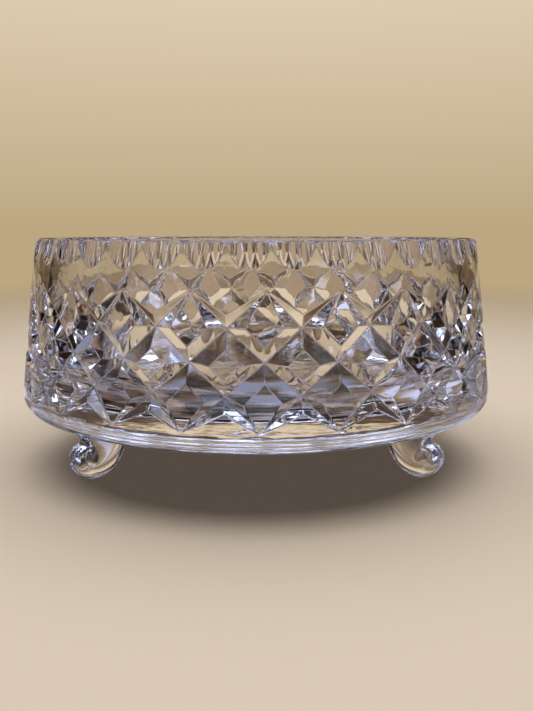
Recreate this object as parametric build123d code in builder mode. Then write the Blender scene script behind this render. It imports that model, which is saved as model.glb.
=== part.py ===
from build123d import *
import os
from math import atan, cos, radians, sin, sqrt, tan

# Cut-crystal punch bowl on three scroll feet.
#
# The bowl is a thick round blank. A band of crossing mitre cuts leaves rows of flat-topped
# diamonds on its wall, and a row of shallow thumb cuts runs round the outside of the rim.
# Three solid glass scrolls are fused to its underside as feet.
#
# Millimetres, +Z up. The bowl's axis is Z, z = 0 is the surface the feet stand on, and the
# front is towards -Y, midway between two feet.

# Blank, outside
RIM_Z = 119.0            # top of the rim
RIM_R = 114.9            # outer radius at the rim
HEEL_Z = 32.6            # height where wall and underside would meet without the rounding
HEEL_R = 125.2           # radius of that corner
HEEL_ROUND = 9.0         # rounding from the wall into the underside
WALL_BOW = 0.4           # how far the wall bows out from a straight cone
BASE_Z = 30.0            # flat middle of the underside
BASE_R = 92.0            # radius of that flat

# Blank, inside
WALL = 9.5               # wall thickness
FLOOR_Z = 41.0           # inside floor
FLOOR_ROUND = 20.0       # rounding from the floor into the wall
LIP_ROUND_OUT = 2.6
LIP_ROUND_IN = 1.5

# Mitre cuts: right-hand and left-hand grooves that cross at the middle rows
REPEATS = 24             # grooves of each hand round the bowl
PATTERN_TURN = 1.5       # degrees from the front to the nearest column of diamonds
ROW_TURN = (0.4, 0.0, 0.0, -0.2, -0.9)   # degrees each row sits out of line with that column
ROW_Z = (99.3, 84.2, 70.2, 56.4, 42.2)   # heights where grooves start, cross and end
MITRE_DEPTH = 3.7        # depth at the crossings, running out to nothing at both ends
MITRE_ANGLE = 113.0      # included angle of the groove
MITRE_LAP = 1.0          # how far each straight run of a groove is cut past its crossing
MITRE_REACH = 7.0        # height of the cutting wedge above the groove's bottom

# Thumb cuts round the rim
THUMB_CUTS = 40
THUMB_TURN = -1.5        # degrees from the front to the middle of the nearest thumb cut
THUMB_ACROSS = 31.0      # radius of each hollow across
THUMB_DOWN = 141.0       # radius of each hollow from top to bottom
THUMB_TILT = 7.0         # degrees from the wall's slope to the hollow's at the rim
THUMB_DEPTH = 2.05       # depth at the top of the rim
THUMB_WHEEL = 24.0       # width of the wheel that grinds the hollow

# Feet: each is a scroll in the upright plane through the bowl's axis
FOOT_TURNS = {"foot_front_left": 210.0, "foot_front_right": 330.0, "foot_back": 90.0}
FOOT_CENTRE = (97.8, 10.45)   # middle of the scroll: distance from the axis, height
FOOT_RADIUS = 10.6       # outer radius of the scroll, a little below z = 0 before grinding
FOOT_WIDTH = 17.0        # across the scroll
FOOT_ROUND = 4.5         # rounding of the scroll's side edges
ROOT_IN = 76.0           # radius of the root's inner end
ROOT_OUT = 98.0          # radius where the root's outer side reaches the underside
ROOT_LOW = 17.0          # height of the lower corner of the root's inner end
ROOT_BELLY = (84.0, 6.2) # point on the root's lower curve: distance from the axis, height
EYE_RADIUS = 5.2         # rounded boss in the middle of each side of the scroll
EYE_GROOVE = 2.0         # width of the groove round the boss
EYE_DEPTH = 1.6          # depth of that groove
TAIL_END_R = 105.0       # where the drawn-out tail of the scroll touches the underside
TAIL_WIDTH = 8.0
TAIL_THICK = 3.2


def wall_radius(z):
    """Outer radius of the uncut wall at height z."""
    t = (RIM_Z - z) / (RIM_Z - HEEL_Z)
    return RIM_R + (HEEL_R - RIM_R) * t + 4 * WALL_BOW * t * (1 - t)


def round_corner(section, point, radius):
    """Round the corner of a sketch that lies nearest to point."""
    fillet(section.vertices().sort_by_distance(point)[0], radius)


def crossing(row, step):
    """Point at the bottom of the groove on one row, step half-columns round from the front."""
    depth = 0 if row in (0, len(ROW_Z) - 1) else MITRE_DEPTH
    turn = radians(PATTERN_TURN + ROW_TURN[row] + 180 / REPEATS * step - 90)
    radius = wall_radius(ROW_Z[row]) - depth
    return Vector(radius * cos(turn), radius * sin(turn), ROW_Z[row])


def mitre_plane(row, step, hand):
    """Plane across one run of a groove, its origin at the groove's bottom, its Y outward."""
    start = crossing(row, step)
    end = crossing(row + 1, step + hand)
    along = (end - start).normalized()
    middle = (start + end) / 2
    outward = Vector(middle.X, middle.Y, 0)
    side = outward.cross(along).normalized()
    lap = MITRE_LAP if row else 0
    return Plane(origin=start - along * lap, x_dir=side, z_dir=along)


def mitre_length(row):
    """Length of one run, with a lap past each crossing where the groove has its full depth."""
    run = (crossing(row + 1, 1) - crossing(row, 0)).length
    laps = 2 if 0 < row < len(ROW_Z) - 2 else 0
    return run + laps * MITRE_LAP


os.makedirs("parts", exist_ok=True)

# ---- bowl ---------------------------------------------------------------------------------

middle_z = (RIM_Z + HEEL_Z) / 2
with BuildSketch(Plane.XZ) as outside:
    with BuildLine():
        ThreePointArc((RIM_R, RIM_Z), (wall_radius(middle_z), middle_z), (HEEL_R, HEEL_Z))
        Polyline((HEEL_R, HEEL_Z), (BASE_R, BASE_Z), (0, BASE_Z), (0, RIM_Z), (RIM_R, RIM_Z))
    make_face()
    round_corner(outside, (HEEL_R, HEEL_Z), HEEL_ROUND)
    round_corner(outside, (RIM_R, RIM_Z), LIP_ROUND_OUT)

with BuildSketch(Plane.XZ) as inside:
    floor_r = wall_radius(FLOOR_Z) - WALL
    with BuildLine():
        Polyline((RIM_R - WALL, RIM_Z), (0, RIM_Z), (0, FLOOR_Z), (floor_r, FLOOR_Z))
        ThreePointArc((floor_r, FLOOR_Z), (wall_radius(middle_z) - WALL, middle_z),
                      (RIM_R - WALL, RIM_Z))
    make_face()
    round_corner(inside, (floor_r, FLOOR_Z), FLOOR_ROUND)

with BuildPart() as blank:
    add(outside.sketch)
    revolve(axis=Axis.Z)

with BuildPart() as bowl:
    add(blank.part)
    add(inside.sketch)
    revolve(axis=Axis.Z, mode=Mode.SUBTRACT)
    rim_edges = bowl.edges().filter_by_position(Axis.Z, RIM_Z - 0.01, RIM_Z + 0.01)
    fillet(rim_edges.sort_by(SortBy.RADIUS)[0], LIP_ROUND_IN)

    # Crossing mitre cuts, one row of runs at a time, both hands
    half_width = MITRE_REACH * tan(radians(MITRE_ANGLE / 2))
    for row in range(len(ROW_Z) - 1):
        steps = range(row % 2, 2 * REPEATS, 2)
        planes = [mitre_plane(row, step, hand) for step in steps for hand in (-1, 1)]
        with BuildSketch(*planes):
            with BuildLine():
                Polyline((0, 0), (half_width, MITRE_REACH), (-half_width, MITRE_REACH), close=True)
            make_face()
        extrude(amount=mitre_length(row), mode=Mode.SUBTRACT)

    # Thumb cuts, ground by the rounded edge of a wheel whose axis runs along the wall
    half_wheel = THUMB_WHEEL / 2
    wheel_side = THUMB_DOWN - THUMB_ACROSS + sqrt(THUMB_ACROSS**2 - half_wheel**2)
    with BuildPart(mode=Mode.PRIVATE) as wheel:
        with BuildSketch():
            with BuildLine():
                ThreePointArc((wheel_side, -half_wheel), (THUMB_DOWN, 0), (wheel_side, half_wheel))
                Polyline((wheel_side, half_wheel), (0, half_wheel), (0, -half_wheel),
                         (wheel_side, -half_wheel))
            make_face()
        revolve(axis=Axis.Y)
    lean = atan(wall_radius(RIM_Z - 1) - RIM_R) + radians(THUMB_TILT)
    wheel_r = RIM_R - THUMB_DEPTH + THUMB_DOWN * cos(lean)
    with Locations((0, 0, RIM_Z + THUMB_DOWN * sin(lean))):
        with PolarLocations(wheel_r, THUMB_CUTS, start_angle=THUMB_TURN - 90):
            add(wheel.part, mode=Mode.SUBTRACT)

bowl.part.label = "bowl"
export_step(bowl.part, "parts/bowl.step")

# ---- feet ---------------------------------------------------------------------------------

centre_r, centre_z = FOOT_CENTRE
for name, turn in FOOT_TURNS.items():
    outward = Vector(cos(radians(turn)), sin(radians(turn)), 0)
    scroll_plane = Plane(origin=(0, 0, 0), x_dir=outward, z_dir=outward.cross(Vector(0, 0, 1)))
    with BuildPart() as foot:
        # Scroll and its root, in side view
        with BuildSketch(scroll_plane):
            with BuildLine():
                root_top = (ROOT_OUT, HEEL_Z)
                Polyline((ROOT_IN, ROOT_LOW), (ROOT_IN, HEEL_Z), root_top)
                Line(root_top, (centre_r, centre_z + FOOT_RADIUS))
                RadiusArc((centre_r, centre_z + FOOT_RADIUS), (centre_r, centre_z - FOOT_RADIUS),
                          FOOT_RADIUS)
                ThreePointArc((centre_r, centre_z - FOOT_RADIUS), ROOT_BELLY, (ROOT_IN, ROOT_LOW))
            make_face()
        extrude(amount=FOOT_WIDTH / 2, both=True)
        sides = foot.faces().filter_by(scroll_plane).edges()
        fillet(sides, FOOT_ROUND)

        # Groove round the boss in the middle of each side
        for side in (-1, 1):
            face_plane = scroll_plane.offset(side * (FOOT_WIDTH / 2 - EYE_DEPTH))
            with BuildSketch(face_plane):
                with Locations(FOOT_CENTRE):
                    Circle(EYE_RADIUS + EYE_GROOVE)
                    Circle(EYE_RADIUS, mode=Mode.SUBTRACT)
            extrude(amount=side * 2 * EYE_DEPTH, mode=Mode.SUBTRACT)

        # Drawn-out tail, a flat strap from the middle of the scroll up to the underside
        with BuildSketch(scroll_plane):
            tail_start = Vector(centre_r, centre_z + EYE_RADIUS)
            tail_end = Vector(TAIL_END_R, HEEL_Z + 1)
            SlotCenterPoint((tail_start + tail_end) / 2, tail_end, TAIL_THICK)
        extrude(amount=TAIL_WIDTH / 2, both=True)

        # Trim to the bowl's underside, and grind the bottom flat
        add(blank.part, mode=Mode.SUBTRACT)
        split(bisect_by=Plane.XY, keep=Keep.TOP)
    foot.part.label = name
    export_step(foot.part, f"parts/{name}.step")
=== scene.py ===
import math

import bmesh
import bpy
from mathutils import Matrix, Vector


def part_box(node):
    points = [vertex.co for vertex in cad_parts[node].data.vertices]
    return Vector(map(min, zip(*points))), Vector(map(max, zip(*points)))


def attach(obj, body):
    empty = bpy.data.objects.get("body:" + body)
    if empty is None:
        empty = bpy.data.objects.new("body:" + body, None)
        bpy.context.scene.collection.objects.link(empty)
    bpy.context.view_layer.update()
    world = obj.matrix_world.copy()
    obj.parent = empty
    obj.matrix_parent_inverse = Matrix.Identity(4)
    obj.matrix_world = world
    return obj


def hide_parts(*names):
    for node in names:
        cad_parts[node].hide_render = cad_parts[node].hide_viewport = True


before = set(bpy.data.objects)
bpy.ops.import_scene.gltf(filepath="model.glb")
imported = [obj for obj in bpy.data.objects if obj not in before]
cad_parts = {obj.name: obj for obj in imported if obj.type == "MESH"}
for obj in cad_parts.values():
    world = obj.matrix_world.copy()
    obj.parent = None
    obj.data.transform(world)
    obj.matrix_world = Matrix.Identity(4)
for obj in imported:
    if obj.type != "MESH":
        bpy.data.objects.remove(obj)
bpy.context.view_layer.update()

# A cut-crystal punch bowl on three scroll feet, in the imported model's frame: metres, the axis
# on Z, the feet on z = 0 and the front towards -Y.

MM = 0.001
SAME = 0.01 * MM                                   # closer than this is the same place

# ---- shape of the blank and of the cuts ---------------------------------------------------

bowl_low, bowl_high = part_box("bowl")
RIM_Z = bowl_high[2]
BASE_Z = bowl_low[2]
RIM_R = 114.9 * MM
HEEL = Vector((125.2 * MM, BASE_Z + 2.6 * MM))     # where wall and underside would meet
HEEL_ROUND = 9 * MM
WALL_BOW = 0.4 * MM
BASE_R = 92 * MM
WALL = 9.5 * MM
FLOOR_Z = BASE_Z + 11 * MM
FLOOR_ROUND = 20 * MM
LIP_ROUND_OUT = 2.6 * MM
LIP_ROUND_IN = 1.5 * MM

REPEATS = 24
STEP = math.pi / REPEATS                           # half a column of diamonds
PATTERN_TURN = math.radians(1.5)
ROW_TURN = [math.radians(turn) for turn in (0.4, 0, 0, -0.2, -0.9)]
ROW_Z = [z * MM for z in (99.3, 84.2, 70.2, 56.4, 42.2)]
MITRE_DEPTH = 3.7 * MM
MITRE_HALF_ANGLE = math.radians(113 / 2)

THUMB_CUTS = 40
THUMB_TURN = math.radians(-1.5)
THUMB_ACROSS = 31 * MM                             # radii of a cut's hollow
THUMB_DOWN = 141 * MM
THUMB_TILT = math.radians(7)                       # of the hollow against the wall at the rim
THUMB_DEPTH = 2.05 * MM

CUT_EDGE_ROUND = 0.42 * MM                         # left on every cut edge by the polishing
THUMB_EDGE_ROUND = 0.35 * MM

FRONT = -math.pi / 2                               # azimuth of the front


def wall_radius(z):
    """Outer radius of the uncut wall at height z."""
    t = (RIM_Z - z) / (RIM_Z - HEEL.y)
    return RIM_R + (HEEL.x - RIM_R) * t + 4 * WALL_BOW * t * (1 - t)


def wall_point(z, inset=0.0):
    """Point of the wall's section, as radius and height."""
    return Vector((wall_radius(z) - inset, z))


def rounded(before, corner, after, radius, steps):
    """Points of the arc that rounds a corner of a section, from one side to the other."""
    to_before = (before - corner).normalized()
    to_after = (after - corner).normalized()
    half = to_before.angle(to_after) / 2
    centre = corner + (to_before + to_after).normalized() * radius / math.sin(half)
    start = corner + to_before * radius / math.tan(half)
    sweep = math.pi - 2 * half
    if to_before.x * to_after.y - to_before.y * to_after.x > 0:
        sweep = -sweep
    arc = []
    for i in range(steps + 1):
        arc.append(centre + Matrix.Rotation(sweep * i / steps, 2) @ (start - centre))
    return arc


def azimuth(vert):
    return math.atan2(vert.co.y, vert.co.x)


def place(vert, angle, radius, z):
    vert.co = Vector((radius * math.cos(angle), radius * math.sin(angle), z))


def bisect(low, high, is_low):
    """Value between low and high where is_low turns false."""
    for _ in range(40):
        middle = (low + high) / 2
        if is_low(middle):
            low = middle
        else:
            high = middle
    return low


# ---- band of mitre cuts -------------------------------------------------------------------

def facet_normal(start, end, side):
    """Normal of the groove's face that rises to one side of the run from start to end."""
    along = (end - start).normalized()
    middle = (start + end) / 2
    outward = Vector((middle.x, middle.y, 0))
    outward = (outward - outward.project(along)).normalized()
    across = outward.cross(along) * side
    rise = outward * math.cos(MITRE_HALF_ANGLE) + across * math.sin(MITRE_HALF_ANGLE)
    return along.cross(rise)


def crossing_point(row, step):
    """Bottom of the grooves where they start, cross or end."""
    depth = 0 if row in (0, len(ROW_Z) - 1) else MITRE_DEPTH
    radius = wall_radius(ROW_Z[row]) - depth
    angle = FRONT + PATTERN_TURN + ROW_TURN[row] + step * STEP
    return Vector((radius * math.cos(angle), radius * math.sin(angle), ROW_Z[row]))


def table_corner(row, step, turn_a, turn_b):
    """Corner of a diamond's flat table: where the faces of two grooves that leave a crossing
    meet the wall's surface. Each turn is (row change, step change) along one groove."""
    here = crossing_point(row, step)
    end_a = crossing_point(row + turn_a[0], step + turn_a[1])
    end_b = crossing_point(row + turn_b[0], step + turn_b[1])
    between = (end_a + end_b) / 2 - here
    normals = []
    for end in (end_a, end_b):
        outward = Vector((here.x, here.y, 0)).normalized()
        side = 1 if outward.cross(end - here).dot(between) > 0 else -1
        normals.append(facet_normal(here, end, side))
    ridge = normals[0].cross(normals[1]).normalized()
    if ridge.dot(Vector((here.x, here.y, 0))) < 0:
        ridge = -ridge

    def inside(reach):
        point = here + ridge * reach
        return point.xy.length < wall_radius(point.z)

    return here + ridge * bisect(0, 30 * MM, inside)


def cut_band(bm):
    """Ring of wall with the grooves in it, between the top and bottom rows of ends."""
    rows = len(ROW_Z) - 1
    columns = 2 * REPEATS
    made = bmesh.ops.create_grid(bm, x_segments=columns, y_segments=rows, size=1)
    grid = {}
    for vert in made["verts"]:
        step = round((vert.co.x + 1) / 2 * columns)
        row = round((1 - vert.co.y) / 2 * rows)
        grid[row, step] = vert
        if (row + step) % 2 == 0:
            vert.co = crossing_point(row, step)
        else:
            angle = FRONT + PATTERN_TURN + ROW_TURN[row] + step * STEP
            place(vert, angle, wall_radius(ROW_Z[row]), ROW_Z[row])

    # One groove runs corner to corner across each cell of the grid
    for row in range(rows):
        for step in range(columns):
            if (row + step) % 2 == 0:
                ends = [grid[row, step], grid[row + 1, step + 1]]
            else:
                ends = [grid[row, step + 1], grid[row + 1, step]]
            bmesh.ops.connect_verts(bm, verts=ends)

    # Corners of the tables, on the cell edges that leave each crossing
    turns = {(-1, 0): ((-1, -1), (-1, 1)), (1, 0): ((1, -1), (1, 1)),
             (0, -1): ((-1, -1), (1, -1)), (0, 1): ((-1, 1), (1, 1))}
    bottoms = []
    corners = []
    for (row, step), vert in grid.items():
        if (row + step) % 2:
            continue
        if row in (0, rows):
            corners.append(vert)
            continue
        bottoms.append(vert)
        for (row_change, step_change), (turn_a, turn_b) in turns.items():
            middle = grid.get((row + row_change, step + step_change))
            edge = middle and bm.edges.get((vert, middle))
            if edge:
                corner = bmesh.utils.edge_split(edge, vert, 0.5)[1]
                corner.co = table_corner(row, step, turn_a, turn_b)
                corners.append(corner)
    bmesh.ops.connect_verts(bm, verts=corners)
    bmesh.ops.remove_doubles(bm, verts=bm.verts, dist=SAME)
    return [vert for vert in bottoms if vert.is_valid]


# ---- the rest of the bowl -----------------------------------------------------------------

COLUMNS = 720                                      # of the thumb-cut rim and the inside
TURN = 2 * math.pi / COLUMNS
TABLE_CUTS = 4                                     # of each side of a quarter of a table
SHOULDER_Z = 103 * MM                              # plain wall between diamonds and thumb cuts
PLAIN_ROWS, HOLLOW_ROWS, LIP_ROWS = 3, 10, 5       # of faces from the shoulder over the rim
MIDDLE_R = 10 * MM                                 # of the flat face that closes each end


def ring_above(bm, ring, target):
    """Extrude a closed ring of edges and put each new vertex where target(azimuth) says."""
    made = bmesh.ops.extrude_edge_only(bm, edges=ring)["geom"]
    for vert in made:
        if isinstance(vert, bmesh.types.BMVert):
            angle = azimuth(vert)
            radius, z = target(angle)
            place(vert, angle, radius, z)
    return [edge for edge in made if isinstance(edge, bmesh.types.BMEdge) and edge.is_boundary]


def thumb_radius(offset, z):
    """Radius of a thumb cut's hollow, offset round from its middle, at height z."""
    lean = math.atan((wall_radius(RIM_Z - MM) - RIM_R) / MM) + THUMB_TILT
    axis = Vector((RIM_R - THUMB_DEPTH + THUMB_DOWN * math.cos(lean),
                   RIM_Z + THUMB_DOWN * math.sin(lean)))

    def before_hollow(radius):
        across = radius * math.sin(offset)
        girth = THUMB_DOWN - THUMB_ACROSS + math.sqrt(THUMB_ACROSS ** 2 - across ** 2)
        return (axis - Vector((radius * math.cos(offset), z))).length > girth

    return bisect(RIM_R - 10 * MM, RIM_R + 15 * MM, before_hollow)


def thumb_offset(angle):
    """Angle from the middle of the nearest thumb cut."""
    pitch = 2 * math.pi / THUMB_CUTS
    offset = (angle - FRONT - THUMB_TURN) % pitch
    return min(offset, pitch - offset)


def lip_arc():
    wall_below = wall_point(RIM_Z - 6 * MM)
    top_inside = Vector((RIM_R - WALL / 2, RIM_Z))
    return rounded(wall_below, Vector((RIM_R, RIM_Z)), top_inside, LIP_ROUND_OUT, 24)


def thumb_rim(bm, ring):
    """Wall above the diamonds, with the thumb cuts hollowed out of it and the outer lip."""
    lip = lip_arc()

    def foot_of_cut(offset):
        return bisect(RIM_Z - 20 * MM, lip[0].y,
                      lambda z: thumb_radius(offset, z) > wall_radius(z))

    def lip_at(t):
        spot = t * (len(lip) - 1)
        low = min(int(spot), len(lip) - 2)
        return lip[low].lerp(lip[low + 1], spot - low)

    def head_of_cut(offset):
        return bisect(0, 1, lambda t: lip_at(t).x > thumb_radius(offset, lip_at(t).y))

    feet = {}
    heads = {}
    for i in range(COLUMNS // THUMB_CUTS + 1):
        feet[i] = foot_of_cut(i * TURN)
        heads[i] = head_of_cut(i * TURN)

    def place_in_cut(angle):
        return round(thumb_offset(angle) / TURN)

    marks = []
    for i in range(1, PLAIN_ROWS + 1):
        def plain(angle, part=i / PLAIN_ROWS):
            z = SHOULDER_Z + (feet[place_in_cut(angle)] - SHOULDER_Z) * part
            return wall_radius(z), z
        ring = ring_above(bm, ring, plain)
    marks += ring
    for i in range(1, HOLLOW_ROWS + 1):
        def hollow(angle, part=i / HOLLOW_ROWS):
            column = place_in_cut(angle)
            z = feet[column] + (lip_at(heads[column]).y - feet[column]) * part
            return thumb_radius(thumb_offset(angle), z), z
        ring = ring_above(bm, ring, hollow)
    marks += ring
    cusp = COLUMNS // THUMB_CUTS // 2
    for edge in bm.edges:
        if all(vert.co.z > feet[cusp] - MM / 10 and place_in_cut(azimuth(vert)) == cusp
               for vert in edge.verts):
            marks.append(edge)
    for i in range(1, LIP_ROWS + 1):
        def over(angle, part=i / LIP_ROWS):
            head = heads[place_in_cut(angle)]
            return lip_at(head + (1 - head) * part)
        ring = ring_above(bm, ring, over)
    return ring, marks


def follow(bm, ring, section):
    """Extrude a ring of edges through the points of a section."""
    for point in section:
        ring = ring_above(bm, ring, lambda angle: point)
    return ring


def evenly(start, end, steps):
    return [start.lerp(end, i / steps) for i in range(1, steps + 1)]


def close(bm, ring):
    """Flat face over the last ring."""
    bmesh.ops.contextual_create(bm, geom=ring)


def ring_at(bm, z):
    """Open edges at one height."""
    return [edge for edge in bm.edges
            if edge.is_boundary and all(abs(vert.co.z - z) < SAME for vert in edge.verts)]


def snap_round(verts, columns, turn):
    """Space the vertices of a ring evenly."""
    pitch = 2 * math.pi / columns
    for vert in verts:
        angle = round((azimuth(vert) - turn) / pitch) * pitch + turn
        place(vert, angle, wall_radius(vert.co.z), vert.co.z)


def bowl_mesh():
    bm = bmesh.new()
    rounding = bm.edges.layers.float.new("bevel_weight_edge")
    bottoms = set(cut_band(bm))
    cut_faces = {face for face in bm.faces if bottoms.intersection(face.verts)}
    sharp = [edge for edge in bm.edges if cut_faces.intersection(edge.link_faces)]
    smooth_edges = [edge for edge in bm.edges if not cut_faces.issuperset(edge.link_faces)]

    for edge in sharp:
        edge[rounding] = 1

    # The tables and the plain wall follow the round surface
    bmesh.ops.subdivide_edges(bm, edges=smooth_edges, cuts=TABLE_CUTS, use_grid_fill=True)
    top = ring_at(bm, ROW_Z[0])
    bmesh.ops.subdivide_edges(bm, edges=top, cuts=COLUMNS // (2 * REPEATS * (TABLE_CUTS + 1)) - 1)
    for vert in bm.verts:
        if wall_radius(vert.co.z) - vert.co.xy.length < MITRE_DEPTH / 2:
            place(vert, azimuth(vert), wall_radius(vert.co.z), vert.co.z)
    top = ring_at(bm, ROW_Z[0])
    snap_round({vert for edge in top for vert in edge.verts}, COLUMNS, FRONT + PATTERN_TURN)

    # Up the plain wall, over the rim and down the inside
    shoulder = wall_point(SHOULDER_Z)
    ring = follow(bm, top, evenly(wall_point(ROW_Z[0]), shoulder, 2))
    ring, marks = thumb_rim(bm, ring)
    for edge in marks:
        edge[rounding] = THUMB_EDGE_ROUND / CUT_EDGE_ROUND
    lip_outer = lip_arc()[-1]
    inner_top = Vector((RIM_R - WALL, RIM_Z))
    lip_inner = rounded(lip_outer, inner_top, wall_point(RIM_Z - 6 * MM, WALL), LIP_ROUND_IN, 6)
    floor_corner = wall_point(FLOOR_Z, WALL)
    floor_arc = rounded(wall_point(FLOOR_Z + 30 * MM, WALL), floor_corner, Vector((0, FLOOR_Z)),
                        FLOOR_ROUND, 14)
    ring = follow(bm, ring, evenly(lip_outer, lip_inner[0], 2) + lip_inner[1:])
    heights = evenly(lip_inner[-1], floor_arc[0], 8)
    ring = follow(bm, ring, [wall_point(point.y, WALL) for point in heights])
    ring = follow(bm, ring, floor_arc[1:])
    ring = follow(bm, ring, evenly(floor_arc[-1], Vector((MIDDLE_R, FLOOR_Z)), 5))
    close(bm, ring)

    # Down the wall, round the heel and across the underside
    ring = ring_at(bm, ROW_Z[-1])
    base_edge = Vector((BASE_R, BASE_Z))
    heel = rounded(wall_point(ROW_Z[-1]), HEEL, base_edge, HEEL_ROUND, 12)
    ring = follow(bm, ring, heel)
    ring = follow(bm, ring, evenly(heel[-1], base_edge, 4))
    ring = follow(bm, ring, evenly(base_edge, Vector((MIDDLE_R, BASE_Z)), 4))
    close(bm, ring)
    bmesh.ops.recalc_face_normals(bm, faces=bm.faces)
    return bm


def finished(name, bm, material):
    """Object for a finished mesh, shaded smooth and with its place in the mesh."""
    for face in bm.faces:
        face.smooth = True
    mesh = bpy.data.meshes.new(name)
    bm.to_mesh(mesh)
    bm.free()
    piece = bpy.data.objects.new(name, mesh)
    bpy.context.scene.collection.objects.link(piece)
    mesh.materials.append(material)
    return piece


def new_group(name, inputs, outputs):
    """Empty shader node group with the named sockets, as (group, its inputs, its outputs)."""
    group = bpy.data.node_groups.new(name, "ShaderNodeTree")
    for socket, kind, value in inputs:
        made = group.interface.new_socket(socket, in_out="INPUT", socket_type=kind)
        made.default_value = value
    for socket, kind in outputs:
        group.interface.new_socket(socket, in_out="OUTPUT", socket_type=kind)
    return group, group.nodes.new("NodeGroupInput"), group.nodes.new("NodeGroupOutput")


def polish_waves():
    """Group for acid-polished crystal: the soft waves left in every surface, as a height in
    metres."""
    group, given, out = new_group(
        "polish_waves",
        [("Wave Length", "NodeSocketFloat", 9 * MM), ("Wave Height", "NodeSocketFloat", 0.1 * MM),
         ("Ripple Height", "NodeSocketFloat", 0.01 * MM)],
        [("Height", "NodeSocketFloat")])
    coordinates = group.nodes.new("ShaderNodeTexCoord")
    waves = group.nodes.new("ShaderNodeTexNoise")
    waves.inputs["Detail"].default_value = 1
    ripples = group.nodes.new("ShaderNodeTexNoise")
    ripples.inputs["Detail"].default_value = 2
    rate = group.nodes.new("ShaderNodeMath")
    rate.operation = "DIVIDE"
    rate.inputs[0].default_value = 1
    fine_rate = group.nodes.new("ShaderNodeMath")
    fine_rate.operation = "MULTIPLY"
    fine_rate.inputs[1].default_value = 3.7
    wave = group.nodes.new("ShaderNodeMath")
    wave.operation = "MULTIPLY"
    total = group.nodes.new("ShaderNodeMath")
    total.operation = "MULTIPLY_ADD"
    link = group.links.new
    link(given.outputs["Wave Length"], rate.inputs[1])
    link(rate.outputs[0], fine_rate.inputs[0])
    for noise, noise_rate in ((waves, rate), (ripples, fine_rate)):
        link(coordinates.outputs["Object"], noise.inputs["Vector"])
        link(noise_rate.outputs[0], noise.inputs["Scale"])
    link(waves.outputs["Fac"], wave.inputs[0])
    link(given.outputs["Wave Height"], wave.inputs[1])
    link(ripples.outputs["Fac"], total.inputs[0])
    link(given.outputs["Ripple Height"], total.inputs[1])
    link(wave.outputs[0], total.inputs[2])
    link(total.outputs[0], out.inputs["Height"])
    return group


WAVES = polish_waves()


def crystal_material(name, wave_length, wave_height, ripple_height):
    """Clear lead crystal, with its polished surface slightly wavy."""
    material = bpy.data.materials.new(name)
    material.use_nodes = True
    tree = material.node_tree
    shader = tree.nodes["Principled BSDF"]
    shader.inputs["Base Color"].default_value = (0.985, 0.99, 1, 1)
    shader.inputs["Roughness"].default_value = 0
    shader.inputs["IOR"].default_value = 1.54
    shader.inputs["Transmission Weight"].default_value = 1
    waves = tree.nodes.new("ShaderNodeGroup")
    waves.node_tree = WAVES
    waves.inputs["Wave Length"].default_value = wave_length
    waves.inputs["Wave Height"].default_value = wave_height
    waves.inputs["Ripple Height"].default_value = ripple_height
    bump = tree.nodes.new("ShaderNodeBump")
    bump.inputs["Strength"].default_value = 1
    bump.inputs["Distance"].default_value = 1
    tree.links.new(waves.outputs["Height"], bump.inputs["Height"])
    tree.links.new(bump.outputs["Normal"], shader.inputs["Normal"])
    return material


crystal = crystal_material("cut_crystal", 9 * MM, 0.10 * MM, 0.008 * MM)
foot_crystal = crystal_material("foot_crystal", 6 * MM, 0.05 * MM, 0.004 * MM)

# ---- scroll feet --------------------------------------------------------------------------

FOOT_TURNS = {"foot_front_left": 210, "foot_front_right": 330, "foot_back": 90}
EYE = Vector((97.9, 10.9)) * MM
EYE_RADIUS = 5.4 * MM
EYE_HALF_WIDTH = 9.2 * MM

# Runs of hot glass in side view: distance from the axis, height, direction (degrees, 0 outward
# and 90 up), half width and half thickness, in millimetres
SCROLL = ((86.8, 32.0, -90, 8.2, 10.6), (86.8, 26.5, -90, 8.4, 10.4), (87.4, 20.0, -80, 8.5, 10.2),
          (89.0, 14.0, -60, 8.5, 9.8), (92.6, 7.9, -33, 8.5, 8.0), (97.9, 5.15, 0, 8.3, 5.9),
          (103.2, 8.3, 52, 7.9, 4.9), (103.2, 13.6, 105, 7.2, 3.9), (99.6, 17.0, 165, 6.2, 2.9),
          (95.4, 15.4, 230, 5.6, 2.2), (94.4, 12.0, 280, 5.0, 1.6))
TAIL = ((105.6, 32.0, -120, 4.6, 1.5), (103.4, 27.6, -118, 4.2, 1.3), (101.0, 23.2, -118, 4.4, 1.4),
        (98.6, 18.8, -118, 5.0, 1.8), (96.6, 14.6, -112, 5.4, 2.2))
RING_SIDES = 32
FULLNESS = 1.05                                    # makes up for what the rounding takes off
SKIN_GRAIN = 0.42 * MM                             # of the mesh that fuses the runs


def oval(bm, station):
    """Closed ring across a run of glass."""
    radius, height, heading, half_width, half_thick = station
    ring = bmesh.ops.create_circle(bm, segments=RING_SIDES, radius=MM)["verts"]
    edges = [edge for edge in bm.edges if edge.is_wire and edge.verts[0] in ring]
    stretch = Matrix.Diagonal((half_thick * FULLNESS, half_width * FULLNESS, 1, 1))
    face = Matrix.Rotation(math.radians(90 - heading), 4, "Y")
    move = Matrix.Translation((radius * MM, 0, height * MM))
    bmesh.ops.transform(bm, matrix=move @ face @ stretch, verts=ring)
    return edges


def draw_out(bm, run):
    """Solid run of glass through a row of ovals."""
    rings = [oval(bm, station) for station in run]
    for ring, following in zip(rings, rings[1:]):
        bmesh.ops.bridge_loops(bm, edges=ring + following)
    for ring in (rings[0], rings[-1]):
        bmesh.ops.contextual_create(bm, geom=ring)


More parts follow.
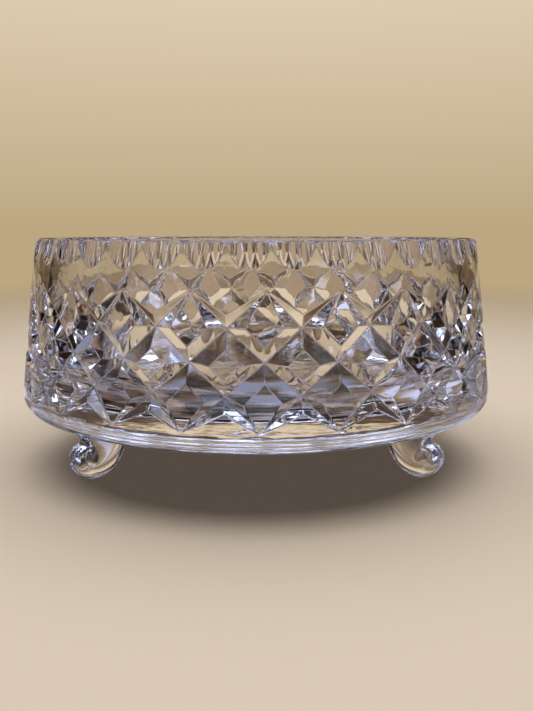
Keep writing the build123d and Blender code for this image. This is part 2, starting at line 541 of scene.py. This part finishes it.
def foot_mesh(turn):
    bm = bmesh.new()
    draw_out(bm, SCROLL)
    draw_out(bm, TAIL)
    eye = bmesh.ops.create_uvsphere(bm, u_segments=48, v_segments=24, radius=1)["verts"]
    bmesh.ops.scale(bm, vec=(EYE_RADIUS, EYE_HALF_WIDTH, EYE_RADIUS), verts=eye)
    bmesh.ops.translate(bm, vec=(EYE.x, 0, EYE.y), verts=eye)
    bmesh.ops.recalc_face_normals(bm, faces=bm.faces)
    bmesh.ops.rotate(bm, matrix=Matrix.Rotation(math.radians(turn), 3, "Z"), verts=bm.verts)
    return bm


# ---- the finished pieces ------------------------------------------------------------------

bowl = finished("cut_bowl", bowl_mesh(), crystal)
polish = bowl.modifiers.new("polished_edges", "BEVEL")
polish.limit_method = "WEIGHT"
polish.width = CUT_EDGE_ROUND
polish.segments = 2
polish.profile = 0.5
polish.harden_normals = True
polish.use_clamp_overlap = False
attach(bowl, "root")
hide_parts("bowl")
for name, turn in FOOT_TURNS.items():
    foot = finished("scroll_" + name, foot_mesh(turn), foot_crystal)
    rounder = foot.modifiers.new("rounder", "SUBSURF")
    rounder.levels = rounder.render_levels = 2
    fuse = foot.modifiers.new("fuse", "REMESH")
    fuse.mode = "VOXEL"
    fuse.voxel_size = SKIN_GRAIN
    fuse.use_smooth_shade = True
    soften = foot.modifiers.new("soften", "SMOOTH")
    soften.factor = 0.5
    soften.iterations = 5
    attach(foot, "root")
    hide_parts(name)

# ---- floor, light and camera --------------------------------------------------------------

HORIZON = (0.50, 0.385, 0.22)                      # where the floor meets the backdrop
BACKDROP_HIGH = (0.76, 0.63, 0.46)
FLOOR_PALE = (0.66, 0.58, 0.48)
# Painted light: near the bowl the floor glows faintly in this colour, lifting the shadow under it.
FLOOR_GLOW = (0.09, 0.07, 0.055)                   # keeps the shadow under the bowl soft
FLOOR_FADE = (0.25, 1.6)                           # distances over which floor turns to HORIZON
FLOOR_R = 6
DISC_SIDES = 96

# The backdrop the glass shows, by height above the horizon, 0 level and 1 overhead
ROOM_TONES = ((0.0, (0.10, 0.06, 0.035)), (0.09, (0.36, 0.26, 0.16)), (0.17, (0.72, 0.57, 0.39)),
              (0.25, (0.80, 0.65, 0.46)), (0.30, (0.12, 0.065, 0.035)), (0.60, (0.05, 0.04, 0.04)))

# A brown board just over the floor that only the glass shows, as it would a wooden table
BOARD_R = 2.4
BOARD_Z = 0.3 * MM
# The last stop is a painted lilac-blue sheen, standing in for the windows' reflection in polished
# wood.
BOARD_TONES_AND_SHEEN = ((0.46, (0.010, 0.006, 0.004)), (0.49, (0.11, 0.065, 0.042)),
               (0.56, (0.34, 0.24, 0.16)), (0.62, (0.62, 0.68, 1.0)))
BOARD_FAR = (0.26, 0.175, 0.11)
BOARD_FADE = (0.35, 0.75)
BOARD_PATCHES = 11                                 # to the metre
# Painted light: the board glows in its own colours, so its tone holds away from the key light.
BOARD_GLOW = 0.45

# Cards round the bowl that only the glass shows: width, height, elevation in degrees, distance
CARD_CENTRE = Vector((0, 0, 0.07))
WINDOW_BLUE = (0.60, 0.69, 1.0)
WINDOW_STRENGTH = 4.2
WINDOW_TOP = (0.6, 0.6, 90, 1.2)
WINDOW = (0.42, 0.36, 50, 1.25)
WINDOWS = 8
DARK = (0.012, 0.006, 0.004)
DARK_CARD = (0.62, 0.85, 9, 1.05)
DARK_TURNS = (17, 163, 197, 343)

KEY_ENERGY = 19
KEY_SIZE = 1.8
KEY_HEIGHT = 1.1
KEY_COLOUR = (1, 0.97, 0.93)

CAMERA_LENS = 39.34
CAMERA_PLACE = (0, -0.426, 0.1231)
CAMERA_DIP = 0.1599                                # radians below level
CAMERA_TURN = -0.0127


def plain_material(name, colour, strength=0.0):
    """Matt paint, or a plain glow if it has a strength."""
    material = bpy.data.materials.new(name)
    material.use_nodes = True
    shader = material.node_tree.nodes["Principled BSDF"]
    shader.inputs["Base Color"].default_value = (*colour, 1)
    shader.inputs["Roughness"].default_value = 0.6
    shader.inputs["Specular IOR Level"].default_value = 0
    if strength:
        shader.inputs["Emission Color"].default_value = (*colour, 1)
        shader.inputs["Emission Strength"].default_value = strength
        shader.inputs["Base Color"].default_value = (0, 0, 0, 1)
    return material


def colour_ramp(tree, value, stops):
    """Colour that runs through the stops, each a position and a colour, as the value rises."""
    ramp = tree.nodes.new("ShaderNodeValToRGB")
    elements = ramp.color_ramp.elements
    while len(elements) < len(stops):
        elements.new(1)
    for element, (position, colour) in zip(elements, stops):
        element.position = position
        element.color = (*colour, 1)
    tree.links.new(value, ramp.inputs["Fac"])
    return ramp.outputs["Color"]


def blend(tree, factor, first, second):
    """Colour between two others, each given as numbers or as a socket."""
    mix = tree.nodes.new("ShaderNodeMix")
    mix.data_type = "RGBA"
    tree.links.new(factor, mix.inputs["Factor"])
    for socket, colour in (("A", first), ("B", second)):
        if isinstance(colour, tuple):
            mix.inputs[socket].default_value = (*colour, 1)
        else:
            tree.links.new(colour, mix.inputs[socket])
    return mix.outputs["Result"]


def away_from_axis(tree, distances, interpolation):
    """Value that rises from 0 to 1 between two distances from the bowl's axis."""
    coordinates = tree.nodes.new("ShaderNodeTexCoord")
    length = tree.nodes.new("ShaderNodeVectorMath")
    length.operation = "LENGTH"
    rise = tree.nodes.new("ShaderNodeMapRange")
    rise.interpolation_type = interpolation
    rise.inputs["From Min"].default_value, rise.inputs["From Max"].default_value = distances
    tree.links.new(coordinates.outputs["Object"], length.inputs[0])
    tree.links.new(length.outputs["Value"], rise.inputs["Value"])
    return rise.outputs["Result"]


def floor_material():
    """Pale floor with a painted glow: faint near the bowl, where it lifts the shadow under it, and
    in the horizon's colour further off, where the paint fades out and the floor turns into the
    backdrop.
    """
    material = plain_material("floor_paint_and_glow", FLOOR_PALE)
    tree = material.node_tree
    shader = tree.nodes["Principled BSDF"]
    shader.inputs["Emission Strength"].default_value = 1
    far = away_from_axis(tree, FLOOR_FADE, "SMOOTHSTEP")
    paint = blend(tree, far, FLOOR_PALE, (0, 0, 0))
    glow = blend(tree, far, FLOOR_GLOW, HORIZON)
    tree.links.new(paint, shader.inputs["Base Color"])
    # Painted glow of the floor: faint near the bowl, the horizon's colour further off.
    tree.links.new(glow, shader.inputs["Emission Color"])
    return material


def board_material():
    """Polished brown wood with dark, brown and tan patches near the bowl and a painted lilac-blue
    sheen among them, with a painted glow in the same colours.
    """
    material = plain_material("board_brown_sheen_and_glow", BOARD_FAR)
    tree = material.node_tree
    shader = tree.nodes["Principled BSDF"]
    shader.inputs["Specular IOR Level"].default_value = 0.5
    shader.inputs["Roughness"].default_value = 0.12
    shader.inputs["Emission Strength"].default_value = BOARD_GLOW
    coordinates = tree.nodes.new("ShaderNodeTexCoord")
    patches = tree.nodes.new("ShaderNodeTexNoise")
    patches.inputs["Scale"].default_value = BOARD_PATCHES
    patches.inputs["Detail"].default_value = 2
    tree.links.new(coordinates.outputs["Object"], patches.inputs["Vector"])
    near = colour_ramp(tree, patches.outputs["Fac"], BOARD_TONES_AND_SHEEN)
    tone = blend(tree, away_from_axis(tree, BOARD_FADE, "LINEAR"), near, BOARD_FAR)
    tree.links.new(tone, shader.inputs["Base Color"])
    # Painted light: the board glows in the same colours, lilac-blue sheen and all.
    tree.links.new(tone, shader.inputs["Emission Color"])
    return material


def disc(name, radius, height, material):
    """Level disc of the studio, round the bowl's axis."""
    bm = bmesh.new()
    bmesh.ops.create_circle(bm, cap_ends=True, segments=DISC_SIDES, radius=radius)
    bmesh.ops.translate(bm, vec=(0, 0, height), verts=bm.verts)
    piece = finished(name, bm, material)
    return piece


def only_in_glass(piece):
    """Keep a piece of the studio out of every view but the one through the glass."""
    piece.visible_camera = False
    piece.visible_diffuse = False
    piece.visible_shadow = False


def card(name, size, turn, material):
    """Flat card that faces the bowl, its turn in degrees from +X."""
    width, height, elevation, distance = size
    turn, elevation = math.radians(turn), math.radians(elevation)
    outward = Vector((math.cos(turn) * math.cos(elevation), math.sin(turn) * math.cos(elevation),
                      math.sin(elevation)))
    facing = (-outward).to_track_quat("Z", "Y").to_matrix().to_4x4()
    move = Matrix.Translation(CARD_CENTRE + outward * distance)
    bm = bmesh.new()
    bmesh.ops.create_grid(bm, x_segments=1, y_segments=1, size=0.5)
    bmesh.ops.scale(bm, vec=(width, height, 1), verts=bm.verts)
    bmesh.ops.transform(bm, matrix=move @ facing, verts=bm.verts)
    piece = finished(name, bm, material)
    only_in_glass(piece)


def studio_world():
    """Plain pale backdrop, and the room with a darker ceiling that the glass shows instead."""
    world = bpy.data.worlds.new("studio")
    world.use_nodes = True
    world.cycles_visibility.diffuse = False
    tree = world.node_tree
    coordinates = tree.nodes.new("ShaderNodeTexCoord")
    split = tree.nodes.new("ShaderNodeSeparateXYZ")
    tree.links.new(coordinates.outputs["Object"], split.inputs[0])
    height = split.outputs["Z"]
    room = colour_ramp(tree, height, ROOM_TONES)
    backdrop = colour_ramp(tree, height, ((0.0, HORIZON), (0.3, BACKDROP_HIGH)))
    rays = tree.nodes.new("ShaderNodeLightPath")
    seen = blend(tree, rays.outputs["Is Camera Ray"], room, backdrop)
    tree.links.new(seen, tree.nodes["Background"].inputs["Color"])
    return world


disc("floor", FLOOR_R, 0, floor_material())
window_light = plain_material("window_light", WINDOW_BLUE, WINDOW_STRENGTH)
card("window_top", WINDOW_TOP, 0, window_light)
for number in range(WINDOWS):
    card(f"window_{number}", WINDOW, 360 / WINDOWS * number, window_light)
dark_card = plain_material("dark_card", DARK)
for number, turn in enumerate(DARK_TURNS):
    card(f"dark_card_{number}", DARK_CARD, turn, dark_card)
only_in_glass(disc("board", BOARD_R, BOARD_Z, board_material()))

key = bpy.data.lights.new("key", "AREA")
key.shape = "DISK"
key.energy = KEY_ENERGY
key.size = KEY_SIZE
key.color = KEY_COLOUR
key.cycles.use_multiple_importance_sampling = False
key_light = bpy.data.objects.new("key", key)
key_light.location = (0, 0, KEY_HEIGHT)
bpy.context.scene.collection.objects.link(key_light)

scene = bpy.context.scene
scene.world = studio_world()
scene.view_settings.view_transform = "Standard"

# Light passes many faces of the cut glass before it leaves
scene.cycles.max_bounces = 16
scene.cycles.transmission_bounces = 16
scene.cycles.glossy_bounces = 12
scene.cycles.caustics_refractive = False
scene.cycles.caustics_reflective = False

lens = bpy.data.cameras.new("camera")
lens.lens = CAMERA_LENS
lens.sensor_width = 36
camera = bpy.data.objects.new("camera", lens)
camera.location = CAMERA_PLACE
camera.rotation_euler = (math.pi / 2 - CAMERA_DIP, 0, CAMERA_TURN)
scene.collection.objects.link(camera)
scene.camera = camera
